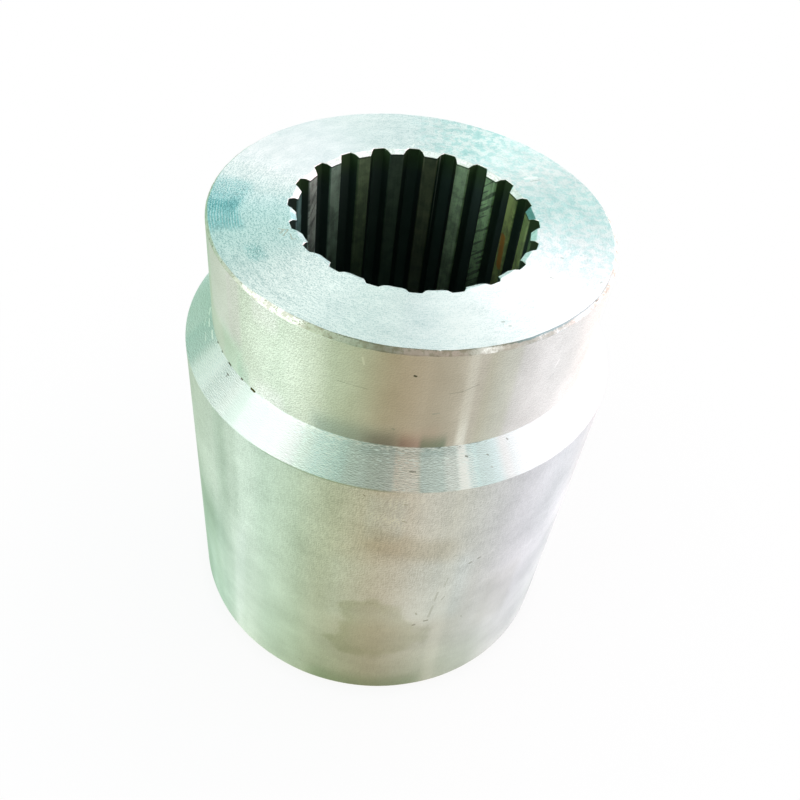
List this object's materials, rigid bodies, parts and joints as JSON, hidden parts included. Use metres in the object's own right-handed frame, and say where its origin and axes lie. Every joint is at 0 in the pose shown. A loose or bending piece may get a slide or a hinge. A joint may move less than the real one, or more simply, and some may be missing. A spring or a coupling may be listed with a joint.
{
  "type": "spline sleeve",
  "caption": "Turned steel sleeve with a plain neck, a conical shoulder, a larger round body and internal involute spline grooves through its bore.",
  "frame": {"origin": "centre of the bottom face of the large body, on the bore axis", "axes": "+Z along the bore axis, from the large body to the neck's top face; +X through the middle of one groove"},
  "size_m": [0.103, 0.103, 0.1205],
  "materials": {
    "turned_steel": "bright turned steel with fine feed marks, darker oily steel in the grooves"
  },
  "bodies": {
    "root": {"spline_sleeve": "turned_steel"}
  },
  "joints": []
}
